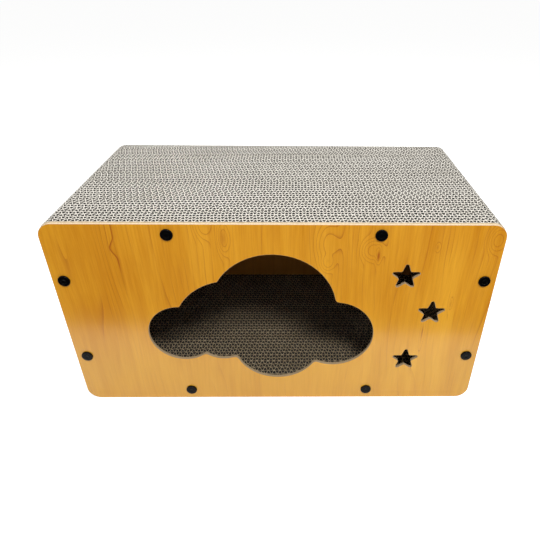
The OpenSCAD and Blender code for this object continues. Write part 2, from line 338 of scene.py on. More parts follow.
@dataclass(frozen=True)
class WoodFilm:
    """Melamine film printed with golden softwood grain, under a satin lacquer.

    The eye gets upright bands of amber and straw, fine fibres, thin brown growth lines that
    close into loops around the knots, and a soft reflection of the floor. Towards its foot the
    print is painted paler, as painted light from the bright floor. The shift gives each film its
    own stretch of the print. Heights, reaches and pitches are in millimetres.
    """

    name: str
    shift: float
    knots: tuple[Knot, ...] = ()
    seams: tuple[Seam, ...] = ()
    deep: str = "#CF8402"
    light: str = "#F4B22C"
    straw: str = "#DCB02A"
    ink: str = "#962C04"
    ior: float = 1.6
    # Roughness between the fibres and on them
    matt: float = 0.25
    sleek: float = 0.17
    # A wide sway and narrow kinks, each with its reach to both sides
    sways: tuple[tuple[Patch, float], ...] = ((Patch(110, 240), 8.0), (Patch(30, 70), 1.2))
    bands: Patch = Patch(26, 420, 6.0, 0.7)
    clouds: Patch = Patch(90, 180, 1.0)
    cloud_weight: float = 0.5
    # Fibres of 0.4 mm are drawn 1.8 mm wide, so that they show
    fibres: Patch = Patch(1.8, 50, 4.0, 0.65)
    fibre_weight: float = 0.45
    fibre_relief: float = 0.02
    fibre_bump: float = 0.12
    # Sums of bands, fibres and clouds that are deep and light, and the least share of light
    deep_tone: float = 0.8
    light_tone: float = 1.3
    least_light: float = 0.1
    # Heights between which the print is painted paler, towards straw, as painted light from the
    # bright floor near the board's foot
    painted_floor_light_from: float = 160.0
    painted_floor_light_full: float = 60.0
    painted_floor_light_share: float = 0.35
    # Growth lines every 10 mm, bent by up to ten lines into long loops
    line_pitch: float = 10.0
    loops: Patch = Patch(60, 600, 1.0)
    loop_lines: float = 10.0
    line_fall: float = 9.0
    # Stretches where the lines are faint or strong, each with its noise and its ink
    stretches: Patch = Patch(24, 110)
    faint: tuple[float, float] = (0.45, 0.05)
    strong: tuple[float, float] = (0.72, 0.75)
    # Heights between which the lines come up to full strength
    faint_at: float = 60.0
    strong_at: float = 220.0
    faintest: float = 0.45
    # Where a knot's heart, bulge and strong lines begin and where they are full, 1 being its rim
    heart: tuple[float, float] = (0.75, 0.0)
    bulge: tuple[float, float] = (1.6, 0.0)
    halo: tuple[float, float] = (2.2, 1.0)
    halo_ink: float = 0.65

    def material(self) -> Material:
        """Builds the film's material.

        Returns:
            The material.
        """
        material, tree = new_material(self.name)
        grain = self._grain(tree)
        fibres = self._noise(tree, grain.flow, self.fibres)
        ink = self._growth_lines(grain)
        marks = [self._seam(grain, seam) for seam in self.seams]
        marks += [self._near(grain, knot, self.heart, knot.ink) for knot in self.knots if knot.ink]
        for mark in marks:
            ink = add(tree, MATH, {0: ink, 1: mark}, operation="MAXIMUM")
        bands = self._bands(grain, fibres)
        colour = add(
            tree, MIX, {SHARE: ink, FROM: bands, TO: linear(self.ink)}, MIXED, data_type="RGBA"
        )
        shine = add(
            tree,
            RANGE,
            {"Value": fibres, "From Min": LOW_NOISE, "From Max": HIGH_NOISE, "To Min": self.matt,
             "To Max": self.sleek},
        )
        relief = add(
            tree,
            "ShaderNodeBump",
            {"Height": fibres, "Strength": self.fibre_bump, "Distance": self.fibre_relief * MM},
        )
        surface = add(
            tree,
            PRINCIPLED,
            {"Base Color": colour, "Roughness": shine, "IOR": self.ior, "Normal": relief},
        )
        add(tree, OUTPUT, {"Surface": surface})
        return material

    def _noise(self, tree: Tree, place: Socket, patch: Patch) -> Socket:
        """Draws noise on the board.

        Args:
            tree: The material's tree.
            place: Coordinates on the board.
            patch: The noise's patches.

        Returns:
            The noise, from 0 to 1.
        """
        start = (self.shift, self.shift + patch.width, self.shift)
        scale = (1 / (patch.width * MM), 0, 1 / (patch.height * MM))
        grid = add(tree, MAPPING, {"Vector": place, "Location": start, "Scale": scale})
        return add(
            tree,
            NOISE,
            {"Vector": grid, "Scale": 1.0, "Detail": patch.detail, "Roughness": patch.roughness},
        )

    def _grain(self, tree: Tree) -> Grain:
        """Bends the way across the board, so that the grain wanders.

        Args:
            tree: The material's tree.

        Returns:
            The tree with its coordinates.
        """
        place = add(tree, "ShaderNodeTexCoord", out="Object")
        split = add(tree, SPLIT, {0: place}).node.outputs
        across, up = split[0], split[2]
        for patch, reach in self.sways:
            noise = self._noise(tree, place, patch)
            step = add(
                tree, RANGE, {"Value": noise, "To Min": -reach * MM, "To Max": reach * MM}
            )
            across = add(tree, MATH, {0: across, 1: step}, operation="ADD")
        return Grain(tree, place, add(tree, JOIN, {0: across, 2: up}), across, up)

    def _bands(self, grain: Grain, fibres: Socket) -> Socket:
        """Draws the upright bands and fibres, from deep amber to light straw.

        The print is painted paler near the board's foot, as painted light from the bright floor.

        Args:
            grain: The film's tree and coordinates.
            fibres: The fine fibres, from 0 to 1.

        Returns:
            The colour.
        """
        tree = grain.tree
        tone = self._noise(tree, grain.flow, self.bands)
        clouds = self._noise(tree, grain.flow, self.clouds)
        for part, weight in ((fibres, self.fibre_weight), (clouds, self.cloud_weight)):
            tone = add(tree, MATH, {0: part, 1: weight, 2: tone}, operation="MULTIPLY_ADD")
        share = add(
            tree,
            RANGE,
            {"Value": tone, "From Min": self.deep_tone, "From Max": self.light_tone,
             "To Min": self.least_light},
        )
        # Painted light from the bright floor: the print turns paler, towards straw, near the foot
        low = add(
            tree,
            RANGE,
            {"Value": grain.up, "From Min": self.painted_floor_light_from * MM, "From Max": self.painted_floor_light_full * MM,
             "To Max": self.painted_floor_light_share},
        )
        colour = linear(self.deep)
        for part, other in ((share, self.light), (low, self.straw)):
            colour = add(
                tree, MIX, {SHARE: part, FROM: colour, TO: linear(other)}, MIXED, data_type="RGBA"
            )
        return colour

    @staticmethod
    def _near(
        grain: Grain,
        knot: Knot,
        ring: tuple[float, float],
        peak: float,
        curve: str = "SMOOTHSTEP",
    ) -> Socket:
        """Gives a value that rises towards a knot.

        Args:
            grain: The film's tree and coordinates.
            knot: The knot.
            ring: Where it starts to rise and where it is full, 1 being the knot's rim.
            peak: The full value.
            curve: How it rises.

        Returns:
            The value.
        """
        tree = grain.tree
        centre = (-knot.across / knot.half_width, 0, -knot.up / knot.half_height)
        scale = (1 / (knot.half_width * MM), 0, 1 / (knot.half_height * MM))
        way = add(tree, MAPPING, {"Vector": grain.place, "Location": centre, "Scale": scale})
        reach = add(tree, "ShaderNodeVectorMath", {0: way}, "Value", operation="LENGTH")
        return add(
            tree,
            RANGE,
            {"Value": reach, "From Min": ring[0], "From Max": ring[1], "To Max": peak},
            interpolation_type=curve,
        )

    def _figure(self, grain: Grain) -> Socket:
        """Builds the height field whose level lines are the growth lines.

        Args:
            grain: The film's tree and coordinates.

        Returns:
            The height, one growth line for each whole step.
        """
        tree = grain.tree
        slope = add(tree, MATH, {0: grain.across, 1: self.line_pitch * MM}, operation="DIVIDE")
        loops = self._noise(tree, grain.flow, self.loops)
        height = add(tree, MATH, {0: loops, 1: self.loop_lines, 2: slope}, operation="MULTIPLY_ADD")
        for knot in self.knots:
            bulge = self._near(grain, knot, self.bulge, knot.pull, "SMOOTHERSTEP")
            height = add(tree, MATH, {0: height, 1: bulge}, operation="ADD")
        return height

    def _growth_lines(self, grain: Grain) -> Socket:
        """Draws thin growth lines that fade in and out.

        Args:
            grain: The film's tree and coordinates.

        Returns:
            The share of ink.
        """
        tree = grain.tree
        wave = add(tree, MATH, {0: self._figure(grain)}, operation="FRACT")
        # Each ring darkens slowly to its late wood and ends at once
        ring = add(tree, MATH, {0: wave, 1: self.line_fall}, operation="POWER")
        strength = add(
            tree,
            RANGE,
            {"Value": self._noise(tree, grain.flow, self.stretches), "From Min": self.faint[0],
             "From Max": self.strong[0], "To Min": self.faint[1], "To Max": self.strong[1]},
        )
        fade = add(
            tree,
            RANGE,
            {"Value": grain.up, "From Min": self.faint_at * MM, "From Max": self.strong_at * MM,
             "To Min": self.faintest},
        )
        strength = add(tree, MATH, {0: strength, 1: fade}, operation="MULTIPLY")
        for knot in self.knots:
            halo = self._near(grain, knot, self.halo, self.halo_ink)
            strength = add(tree, MATH, {0: strength, 1: halo}, operation="MAXIMUM")
        return add(tree, MATH, {0: ring, 1: strength}, operation="MULTIPLY")

    def _seam(self, grain: Grain, seam: Seam) -> Socket:
        """Draws one seam.

        Args:
            grain: The film's tree and coordinates.
            seam: The seam.

        Returns:
            The share of ink.
        """
        tree = grain.tree
        off = add(tree, MATH, {0: grain.up, 1: seam.bend_height * MM}, operation="SUBTRACT")
        off = add(tree, MATH, {0: off}, operation="ABSOLUTE")
        bend = add(
            tree,
            RANGE,
            {"Value": off, "From Min": seam.bend_reach * MM, "From Max": 0.0,
             "To Max": seam.bend * MM},
            interpolation_type="SMOOTHSTEP",
        )
        gap = add(tree, MATH, {0: grain.across, 1: seam.across * MM}, operation="SUBTRACT")
        gap = add(tree, MATH, {0: gap, 1: bend}, operation="ADD")
        left = add(tree, RANGE, {"Value": gap, "From Min": -seam.line * MM, "From Max": 0.0})
        right = add(tree, RANGE, {"Value": gap, "From Min": seam.shade * MM, "From Max": 0.0})
        line = add(tree, MATH, {0: right, 1: seam.fall}, operation="POWER")
        strength = add(
            tree,
            RANGE,
            {"Value": self._noise(tree, grain.flow, seam.stretches), "From Min": LOW_NOISE,
             "From Max": HIGH_NOISE, "To Min": seam.weakest},
        )
        fade = add(
            tree,
            RANGE,
            {"Value": grain.up, "From Min": seam.faint_below * MM,
             "From Max": seam.strong_above * MM, "To Min": seam.faintest},
        )
        for part in (left, strength, fade):
            line = add(tree, MATH, {0: line, 1: part}, operation="MULTIPLY")
        return line


@dataclass(frozen=True)
class FibreboardCore:
    """Medium-density fibreboard, sawn: pale tan felt of short fibres with darker flecks.

    The edges of the doorway and the windows are painted darker and browner, as painted shade,
    since little light reaches these lips. Width and height are the board's, in metres.
    """

    width: float
    height: float
    name: str = "fibreboard core"
    pale: str = "#EBD9BC"
    dark: str = "#C2A67C"
    # Painted shade on the lips of the doorway and the windows, and how much of it
    painted_lip_shade: str = "#A1865E"
    painted_lip_shade_share: float = 0.7
    roughness: float = 0.85
    # Fibre clumps of 0.5 mm are drawn 1.5 mm wide, so that they show
    clump: float = 1.5
    clump_detail: float = 4.0
    clump_roughness: float = 0.65
    relief: float = 0.1
    bump: float = 0.4
    # Noise from which flecks show, and where they are full
    fleck_from: float = 0.35
    fleck_full: float = 0.8
    # An edge gets no painted shade past the first share of the way from the board's middle to
    # its outline, and its full painted shade within the second
    outline: float = 0.95
    cut_outs: float = 0.9

    def material(self) -> Material:
        """Builds the core's material.

        Returns:
            The material.
        """
        material, tree = new_material(self.name)
        place = add(tree, "ShaderNodeTexCoord", out="Object")
        felt = add(
            tree,
            NOISE,
            {"Vector": place, "Scale": 1 / (self.clump * MM), "Detail": self.clump_detail,
             "Roughness": self.clump_roughness},
        )
        share = add(
            tree, RANGE, {"Value": felt, "From Min": self.fleck_from, "From Max": self.fleck_full}
        )
        # The way from the board's middle, 1 at its outline, across or up
        scale = (2 / self.width, 0, 2 / self.height)
        way = add(tree, MAPPING, {"Vector": place, "Location": (0, 0, -1), "Scale": scale})
        way = add(tree, "ShaderNodeVectorMath", {0: way}, operation="ABSOLUTE")
        split = add(tree, SPLIT, {0: way}).node.outputs
        reach = add(tree, MATH, {0: split[0], 1: split[2]}, operation="MAXIMUM")
        # Painted shade on the lips of the doorway and the windows, which little light reaches
        painted_lip_shade_mask = add(
            tree,
            RANGE,
            {"Value": reach, "From Min": self.outline, "From Max": self.cut_outs,
             "To Max": self.painted_lip_shade_share},
        )
        colour = linear(self.pale)
        for part, other in ((share, self.dark), (painted_lip_shade_mask, self.painted_lip_shade)):
            colour = add(
                tree, MIX, {SHARE: part, FROM: colour, TO: linear(other)}, MIXED, data_type="RGBA"
            )
        relief = add(
            tree,
            "ShaderNodeBump",
            {"Height": felt, "Strength": self.bump, "Distance": self.relief * MM},
        )
        surface = add(
            tree,
            PRINCIPLED,
            {"Base Color": colour, "Roughness": self.roughness, "Normal": relief},
        )
        add(tree, OUTPUT, {"Surface": surface})
        return material


@dataclass(frozen=True)
class KraftPaper:
    """Recycled kraft paper in sawn corrugated board.

    The eye gets pale, fuzzy sawn edges around cells that look almost black, and a slight change
    of tint from sheet to sheet. The cells' faces are painted almost black, as painted shade,
    because little light comes back out of them. Edges inside the cabin are painted browner than
    the pale ones outside, as painted shade of the dim cabin, and the faces that lie bare at a
    slab's ends take that brown as the paper's own kraft colour. Each fuzz is how deep the sawn
    colour reaches, in millimetres.
    """

    name: str = "recycled kraft paper"
    sawn: str = "#F8F3E9"
    sawn_dull: str = "#DAD4C7"
    # Brown for edges towards the cabin, as painted shade of the dim cabin, and the paper's own
    # kraft on faces bared at the ends
    inside: str = "#E6D2AE"
    inside_dull: str = "#AE966F"
    # Faces inside the cells, painted almost black as painted shade
    painted_cell_shade: str = "#1D1812"
    painted_cell_shade_dull: str = "#14110D"
    fuzz_outside: float = 0.3
    fuzz_inside: float = 0.1
    fuzz_end: float = 0.3
    bared: float = 6.0
    roughness: float = 0.92
    # Flecks over clouds that run from board to board, in millimetres
    fleck: float = 4.0
    fleck_detail: float = 3.0
    fleck_roughness: float = 0.6
    cloud: float = 60.0
    cloud_detail: float = 2.0
    cloud_weight: float = 0.4
    sheet_weight: float = 0.25
    # Sums of flecks, clouds and tint that are clean and dull
    clean_sum: float = 0.5
    dull_sum: float = 1.15

    def material(self) -> Material:
        """Builds the paper's material.

        Returns:
            The material.
        """
        material, tree = new_material(self.name)
        place = add(tree, "ShaderNodeTexCoord", out="Object")
        dullness = add(
            tree,
            NOISE,
            {"Vector": place, "Scale": 1 / (self.fleck * MM), "Detail": self.fleck_detail,
             "Roughness": self.fleck_roughness},
        )
        clouds = add(
            tree,
            NOISE,
            {"Vector": place, "Scale": 1 / (self.cloud * MM), "Detail": self.cloud_detail},
        )
        sheet = add(tree, "ShaderNodeAttribute", out="Fac", attribute_name=Mark.TINT.value)
        for part, weight in ((clouds, self.cloud_weight), (sheet, self.sheet_weight)):
            dullness = add(tree, MATH, {0: part, 1: weight, 2: dullness}, operation="MULTIPLY_ADD")
        share = add(
            tree,
            RANGE,
            {"Value": dullness, "From Min": self.clean_sum, "From Max": self.dull_sum},
        )
        # Painted shade: the cells' faces are almost black, because little light comes back out of
        # them
        colour, sawn, inside = (
            add(tree, MIX, {SHARE: share, FROM: linear(a), TO: linear(b)}, MIXED, data_type="RGBA")
            for a, b in (
                (self.painted_cell_shade, self.painted_cell_shade_dull),
                (self.sawn, self.sawn_dull),
                (self.inside, self.inside_dull),
            )
        )
        # Bare faces at the ends and sides take the paper's own kraft brown, outer edges the pale
        # sawn colour, and inner edges towards the cabin the same brown, as painted shade of the dim
        # cabin
        for mark, shade, fuzz in (
            (Mark.FROM_END, inside, self.fuzz_end),
            (Mark.FROM_SIDE, inside, self.bared),
            (Mark.BELOW_OUTER_FACE, sawn, self.fuzz_outside),
            (Mark.ABOVE_INNER_FACE, inside, self.fuzz_inside),
        ):
            depth = add(tree, "ShaderNodeAttribute", out="Fac", attribute_name=mark.value)
            edge = add(
                tree,
                RANGE,
                {"Value": depth, "From Min": fuzz * MM, "From Max": 0.0},
                interpolation_type="SMOOTHSTEP",
            )
            colour = add(
                tree, MIX, {SHARE: edge, FROM: colour, TO: shade}, MIXED, data_type="RGBA"
            )
        surface = add(tree, PRINCIPLED, {"Base Color": colour, "Roughness": self.roughness})
        add(tree, OUTPUT, {"Surface": surface})
        return material


@dataclass(frozen=True)
class BlackNylon:
    """Nylon, moulded in polished steel: near black, glossy, with a faint flow mottle."""

    name: str = "black nylon"
    colour: str = "#040405"
    mottle: str = "#09090A"
    # Size in millimetres, and how many finer layers lie on it
    mottle_size: float = 2.0
    mottle_detail: float = 3.0
    # Roughness from the mottle's darkest to its lightest part
    sleek: float = 0.08
    matt: float = 0.18
    specular: float = 0.1

    def material(self) -> Material:
        """Builds the nylon's material.

        Returns:
            The material.
        """
        material, tree = new_material(self.name)
        place = add(tree, "ShaderNodeTexCoord", out="Object")
        scale = 1 / (self.mottle_size * MM)
        flow = add(tree, NOISE, {"Vector": place, "Scale": scale, "Detail": self.mottle_detail})
        shades = {FROM: linear(self.colour), TO: linear(self.mottle)}
        colour = add(tree, MIX, {SHARE: flow, **shades}, MIXED, data_type="RGBA")
        shine = add(tree, RANGE, {"Value": flow, "To Min": self.sleek, "To Max": self.matt})
        surface = add(
            tree,
            PRINCIPLED,
            {"Base Color": colour, "Roughness": shine, "Specular IOR Level": self.specular},
        )
        add(tree, OUTPUT, {"Surface": surface})
        return material


@dataclass(frozen=True)
class Ply:
    """One kind of ply in a corrugated board, in millimetres.

    A flute's swing is half the height of its wave at mid paper. A liner has none. The
    offsets run from the board's front face to the middle of each ply of the kind. A row's
    wave drifts by a share of its pitch from that of the row before it, and a liner's points
    crowd towards its ends.
    """

    name: str
    offsets: tuple[float, ...]
    wall: float
    swing: float = 0.0
    pitch: float = 8.6
    steps: int = 8
    drift: float = 0.0
    crowding: float = 1.0


# Paper of 0.3 mm is drawn up to four times as thick, so that it shows
SLAB_PLIES = (
    Ply("flutes", (3.5,), 1.2, swing=2.85, drift=0.25),
    Ply("liners", (0.3, 6.7), 0.6, crowding=3.0),
)
# In the cabin's shade the floor's sawn edges look thinner
FLOOR_PLIES = (
    Ply("flutes", (3.5,), 0.7, swing=3.0, drift=0.25),
    Ply("liners", (0.15, 6.85), 0.3, crowding=3.0),
)


@dataclass(frozen=True)
class CorrugatedRows:
    """Geometry Nodes tree that stands rows of paper on edge, flat or in waves.

    It starts from one point for each row. Each row runs along X, stands from z = 0 to the
    slab's thickness, and is cut to the slab's rounded corners. Sizes are in millimetres.
    """

    # Rows lean together by up to this much, over stretches of this length and depth
    wander: float = 0.5
    wander_length: float = 110.0
    wander_depth: float = 25.0
    # They stand straight this near an end board, and lean freely this far from it
    held: float = 6.0
    free: float = 20.0
    # The saw leaves each paper up to this much short, over stretches of this length
    unevenness: float = 0.25
    uneven_length: float = 5.0
    # Part of a wave's pitch that is flat to each side of a crest
    crest: float = 1 / 8
    # Part of a wave's pitch by which a row may start early or late
    late: float = 1 / 8
    # Noise at which rows lean fully to one side and to the other
    lean_ends: tuple[float, float] = (0.25, 0.75)

    def tree(self) -> Tree:
        """Builds the tree.

        Returns:
            The tree, with an input for each size.
        """
        floats = ("Run", "Depth", "Thickness", "Corner", "Wall", "Swing", "Pitch", "Drift",
                  "Crowding")
        inputs = {**dict.fromkeys(floats, "Float"), **dict.fromkeys(("Points", "Seed"), "Int")}
        tree, given = new_tree("corrugated rows", {**inputs, "Paper": "Material"})
        rows = self._wave(tree, given, self._lay_rows(tree, given))
        walls = self._trim(tree, given, self._raise_walls(tree, given, rows))
        end_tree(tree, walls, given["Paper"])
        return tree

    @staticmethod
    def _room(tree: Tree, span: Socket, place: Socket) -> Socket:
        """Measures the way from a place to the nearer end of a span about the origin.

        Args:
            tree: The tree.
            span: The span's length.
            place: The place along it.

        Returns:
            The way, which is negative past an end.
        """
        half = add(tree, MATH, {0: span, 1: 0.5}, operation="MULTIPLY")
        aside = add(tree, MATH, {0: place}, operation="ABSOLUTE")
        return add(tree, MATH, {0: half, 1: aside}, operation="SUBTRACT")

    @staticmethod
    def _lay_rows(tree: Tree, given: Sockets) -> Socket:
        """Lays one line of points along X at each row's point.

        Args:
            tree: The tree.
            given: The outputs of its Group Input.

        Returns:
            The lines, with the number and the tint of their row.
        """
        number = add(tree, "GeometryNodeInputIndex")
        seeded = {"ID": number, "Seed": given["Seed"]}
        tint = add(tree, "FunctionNodeRandomValue", seeded, 1, data_type="FLOAT")
        points = given["Geometry"]
        for name, value in (("row", number), (Mark.TINT.value, tint)):
            points = add(tree, STORE, {"Geometry": points, "Name": name, "Value": value})
        half = add(tree, MATH, {0: given["Run"], 1: 0.5}, operation="MULTIPLY")
        start = add(tree, MATH, {0: half, 1: -1.0}, operation="MULTIPLY")
        line = add(
            tree,
            "GeometryNodeMeshLine",
            {"Count": given["Points"], "Start Location": add(tree, JOIN, {0: start}),
             "Offset": add(tree, JOIN, {0: half})},
            mode="END_POINTS",
            count_mode="TOTAL",
        )
        rows = add(tree, "GeometryNodeInstanceOnPoints", {"Points": points, "Instance": line})
        return add(tree, "GeometryNodeRealizeInstances", {"Geometry": rows})

    def _wave(self, tree: Tree, given: Sockets, rows: Socket) -> Socket:
        """Bends the lines into waves, and crowds a liner's points where the corners are round.

        Args:
            tree: The tree.
            given: The outputs of its Group Input.
            rows: The straight lines.

        Returns:
            The bent lines, with the way of each point from its row's nearer end.
        """
        split = add(tree, SPLIT, {0: add(tree, POSITION)}).node.outputs
        wave = self._zigzag(tree, given, split[0])
        lean = self._lean(tree, given, split)
        aside = add(tree, MATH, {0: wave, 1: given["Swing"], 2: lean}, operation="MULTIPLY_ADD")
        aside = add(tree, MATH, {0: split[1], 1: aside}, operation="ADD")
        half = add(tree, MATH, {0: given["Run"], 1: 0.5}, operation="MULTIPLY")
        room = self._room(tree, given["Run"], split[0])
        left = add(tree, MATH, {0: room, 1: half}, operation="DIVIDE", use_clamp=True)
        left = add(tree, MATH, {0: left, 1: given["Crowding"]}, operation="POWER")
        along = add(tree, MATH, {0: 1.0, 1: left}, operation="SUBTRACT")
        hand = add(tree, MATH, {0: split[0]}, operation="SIGN")
        for part in (half, hand):
            along = add(tree, MATH, {0: along, 1: part}, operation="MULTIPLY")
        place = add(tree, JOIN, {0: along, 1: aside})
        rows = add(tree, SET_POSITION, {"Geometry": rows, "Position": place})
        mark = {"Name": Mark.FROM_SIDE.value, "Value": room}
        return add(tree, STORE, {"Geometry": rows, **mark})

    def _zigzag(self, tree: Tree, given: Sockets, along: Socket) -> Socket:
        """Draws each row's wave, flat at its crests and steep between them.

        Args:
            tree: The tree.
            given: The outputs of its Group Input.
            along: The way along the row.

        Returns:
            The wave, from -1 to 1.
        """
        row = add(tree, "GeometryNodeInputNamedAttribute", {"Name": "row"}, data_type="FLOAT")
        number = add(tree, "FunctionNodeFloatToInt", {0: row})
        late = add(
            tree,
            "FunctionNodeRandomValue",
            {4: -1, 5: 1, "ID": number, "Seed": given["Seed"]},
            2,
            data_type="INT",
        )
        turns = add(tree, MATH, {0: along, 1: given["Pitch"]}, operation="DIVIDE")
        for part, weight in ((row, given["Drift"]), (late, self.late)):
            turns = add(tree, MATH, {0: part, 1: weight, 2: turns}, operation="MULTIPLY_ADD")
        slope = add(tree, MATH, {0: turns, 1: 0.5}, operation="PINGPONG")
        return add(
            tree,
            RANGE,
            {"Value": slope, "From Min": self.crest, "From Max": 0.5 - self.crest, "To Min": -1.0,
             "To Max": 1.0},
        )

    def _lean(self, tree: Tree, given: Sockets, split: Sockets) -> Socket:
        """Leans rows together, as in a glued stack, but not against the end boards.

        Args:
            tree: The tree.
            given: The outputs of its Group Input.
            split: The parts of a point's place.

        Returns:
            The lean along Y.
        """
        stretch = {
            axis: add(tree, MATH, {0: split[axis], 1: length * MM}, operation="DIVIDE")
            for axis, length in enumerate((self.wander_length, self.wander_depth))
        }
        spot = add(tree, JOIN, {**stretch, 2: given["Seed"]})
        lean = add(tree, NOISE, {"Vector": spot, "Scale": 1.0, "Detail": 1.0})
        lean = add(
            tree,
            RANGE,
            {"Value": lean, "From Min": self.lean_ends[0], "From Max": self.lean_ends[1],
             "To Min": -self.wander * MM, "To Max": self.wander * MM},
        )
        room = self._room(tree, given["Depth"], split[1])
        free = add(
            tree, RANGE, {"Value": room, "From Min": self.held * MM, "From Max": self.free * MM}
        )
        return add(tree, MATH, {0: lean, 1: free}, operation="MULTIPLY")

    def _raise_walls(self, tree: Tree, given: Sockets, rows: Socket) -> Socket:
        """Gives the lines their paper thickness and their height.

        Args:
            tree: The tree.
            given: The outputs of its Group Input.
            rows: The bent lines.

        Returns:
            Walls from z = 0 to the slab's thickness, with the marks for their finish.
        """
        curves = add(tree, "GeometryNodeMeshToCurve", {"Mesh": rows})
        curves = add(tree, "GeometryNodeSetCurveNormal", {"Curve": curves}, mode="Z_UP")
        edge = add(
            tree,
            "GeometryNodeCurvePrimitiveQuadrilateral",
            {"Width": given["Wall"], "Height": given["Thickness"]},
            mode="RECTANGLE",
        )
        walls = add(
            tree,
            "GeometryNodeCurveToMesh",
            {"Curve": curves, "Profile Curve": edge, "Fill Caps": True},
        )
        lift = add(tree, MATH, {0: given["Thickness"], 1: 0.5}, operation="MULTIPLY")
        offset = add(tree, JOIN, {2: lift})
        walls = add(tree, SET_POSITION, {"Geometry": walls, "Offset": offset})
        split = add(tree, SPLIT, {0: add(tree, POSITION)}).node.outputs
        depth = add(tree, MATH, {0: given["Thickness"], 1: split[2]}, operation="SUBTRACT")
        room = self._room(tree, given["Depth"], split[1])
        for mark, value in (
            (Mark.ABOVE_INNER_FACE, split[2]),
            (Mark.BELOW_OUTER_FACE, depth),
            (Mark.FROM_END, room),
        ):
            walls = add(tree, STORE, {"Geometry": walls, "Name": mark.value, "Value": value})
        return walls

    def _trim(self, tree: Tree, given: Sockets, walls: Socket) -> Socket:
        """Cuts the outer edges to the rounded corners, a little unevenly.

        Args:
            tree: The tree.
            given: The outputs of its Group Input.
            walls: The walls.

        Returns:
            The trimmed walls.
        """
        corner = given["Corner"]
        place = add(tree, POSITION)
        split = add(tree, SPLIT, {0: place}).node.outputs
        room = self._room(tree, given["Run"], split[0])
        past = add(tree, MATH, {0: corner, 1: room}, operation="SUBTRACT")
        past = add(tree, MATH, {0: past, 1: 0.0}, operation="MAXIMUM")
        radius, square = (
            add(tree, MATH, {0: side, 1: side}, operation="MULTIPLY") for side in (corner, past)
        )
        rise = add(tree, MATH, {0: radius, 1: square}, operation="SUBTRACT")
        rise = add(tree, MATH, {0: rise, 1: 0.0}, operation="MAXIMUM")
        rise = add(tree, MATH, {0: rise}, operation="SQRT")
        drop = add(tree, MATH, {0: corner, 1: rise}, operation="SUBTRACT")
        scale = 1 / (self.uneven_length * MM)
        ragged = add(tree, NOISE, {"Vector": place, "Scale": scale, "Detail": 1.0})
        ragged = add(
            tree,
            RANGE,
            {"Value": ragged, "From Min": LOW_NOISE, "From Max": HIGH_NOISE,
             "To Max": self.unevenness * MM},
        )
        short = add(tree, MATH, {0: drop, 1: ragged}, operation="ADD")
        lower = add(tree, MATH, {0: short, 1: -1.0}, operation="MULTIPLY")
        middle = add(tree, MATH, {0: given["Thickness"], 1: 0.5}, operation="MULTIPLY")
        outer = add(tree, "FunctionNodeCompare", {0: split[2], 1: middle}, operation="GREATER_THAN")
        offset = add(tree, JOIN, {2: lower})
        return add(tree, SET_POSITION, {"Geometry": walls, "Selection": outer, "Offset": offset})


@dataclass(frozen=True)
class CorrugatedSlab:
    """A slab of double-wall boards glued face to face, with their sawn edges showing.

    One wide flute stands for the two of each 7 mm board, because the second is too fine to show.
    """

    side: Side
    corner: float
    seed: int
    plies: tuple[Ply, ...] = SLAB_PLIES
    board: float = 7.0
    liner_points: int = 41

    def build(self, tree: Tree, paper: Material) -> None:
        """Builds one piece for each kind of ply.

        Args:
            tree: The tree that grows the rows.
            paper: The finish.
        """
        low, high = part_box(self.side.value)
        size = high - low
        upright = self.side in (Side.LEFT, Side.RIGHT)
        length, thickness = (size.z, size.x) if upright else (size.x, size.z)
        for ply in self.plies:
            # A row ends half its paper short, so that a wave's slanted end stays in the slab
            run = length - ply.wall * MM
            points, pitch = self.liner_points, run
            if ply.swing:
                points = round(run / (ply.pitch * MM) * ply.steps) + 1
                pitch = run * ply.steps / (points - 1)
            name = f"{self.side.name.lower()}_{ply.name}"
            piece = new_object(name, self._row_points(ply, size.y))
            values = {
                "Run": run,
                "Depth": size.y,
                "Thickness": thickness,
                "Corner": self.corner * MM,
                "Wall": ply.wall * MM,
                "Swing": ply.swing * MM,
                "Pitch": pitch,
                "Drift": ply.drift,
                "Crowding": ply.crowding,
                "Points": points,
                "Seed": self.seed,
                "Paper": paper,
            }
            grow(piece, tree, values)
            piece.data.transform(self._turn(low, high))
            settle(piece, Slot.CARDBOARD, self.side.value)

    def _row_points(self, ply: Ply, depth: float) -> Mesh:
        """Makes a mesh of one point for each row of a ply.

        Args:
            ply: The kind of ply.
            depth: The slab's depth in metres.

        Returns:
            The points, along Y.
        """
        count = round(depth / (self.board * MM))
        pitch = depth / count
        share = pitch / self.board
        places = [
            (0.0, i * pitch + offset * share - depth / 2, 0.0)
            for i in range(count)
            for offset in ply.offsets
        ]
        return points_mesh(ply.name, places)

    def _turn(self, low: Vector, high: Vector) -> Matrix:
        """Turns a slab that lies face up to where it stands.

        Args:
            low: Lowest corner of the slab's CAD node.
            high: Highest corner of it.

        Returns:
            The matrix.
        """
        x, y, z = (low + high) / 2
        inner_face, turn = {
            Side.ROOF: ((x, y, low.z), Matrix()),
            Side.FLOOR: ((x, y, high.z), Matrix.Rotation(math.pi, 4, "X")),
            Side.LEFT: ((high.x, y, z), Matrix.Rotation(-math.pi / 2, 4, "Y")),
            Side.RIGHT: ((low.x, y, z), Matrix.Rotation(math.pi / 2, 4, "Y")),
        }[self.side]
        return Matrix.Translation(inner_face) @ turn


@dataclass(frozen=True)
class EndBoard:
    """A fibreboard end with a printed film on each face, kept as the CAD nodes."""

    end: str
    outer: WoodFilm
    inner: WoodFilm

    def dress(self, core: Material) -> None:
        """Gives the board and its films their finishes.

        Args:
            core: The fibreboard's finish.
        """
        finishes = {
            f"{self.end}_board": core,
            f"{self.end}_outer_film": self.outer.material(),
            f"{self.end}_inner_film": self.inner.material(),
        }
        for node, material in finishes.items():
            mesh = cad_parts[node].data
            mesh.materials.clear()
            mesh.materials.append(material)
            LOG.info("%s: %s", node, material.name)


